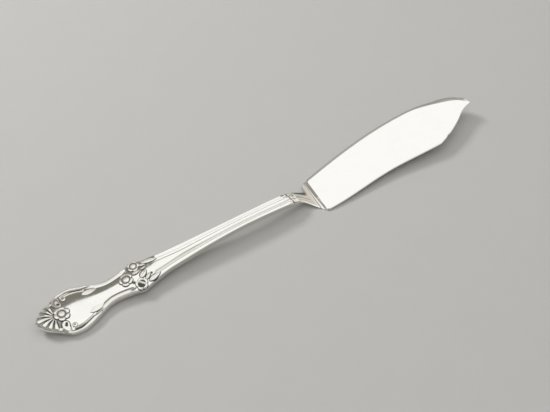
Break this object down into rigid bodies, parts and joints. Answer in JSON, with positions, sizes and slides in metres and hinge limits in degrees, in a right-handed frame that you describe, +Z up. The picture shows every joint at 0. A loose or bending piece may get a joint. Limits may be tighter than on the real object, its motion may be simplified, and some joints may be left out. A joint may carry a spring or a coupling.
{
  "type": "master butter knife",
  "caption": "Flat-handled master butter knife in polished silver: broad blade, dropped neck, arched reeded stem and an ornamented spoon-shaped handle end.",
  "frame": {"origin": "Middle of the bounding box in plan, on the table that the knife lies on.", "axes": "+X runs from the handle's end to the blade's tip, +Y across the knife towards the blade's spine, +Z up from the table."},
  "size_m": [0.1794, 0.021, 0.0077],
  "materials": {
    "mirror_silver": "mirror",
    "polished_silver": "polished",
    "relief_silver": "polished, with darkened recesses",
    "silver_solder": "matte"
  },
  "bodies": {
    "root": {"handle": "polished_silver", "blade": "mirror_silver", "tang_solder": "silver_solder", "neck_collar": "relief_silver", "end_shell": "relief_silver", "end_rosette": "relief_silver", "end_scroll_left": "relief_silver", "end_scroll_right": "relief_silver", "waist_scroll_left": "relief_silver", "waist_scroll_right": "relief_silver", "rose_centre": "relief_silver", "rose_left": "relief_silver", "rose_right": "relief_silver", "leaf_centre": "relief_silver", "leaf_left": "relief_silver", "leaf_right": "relief_silver"}
  },
  "joints": []
}
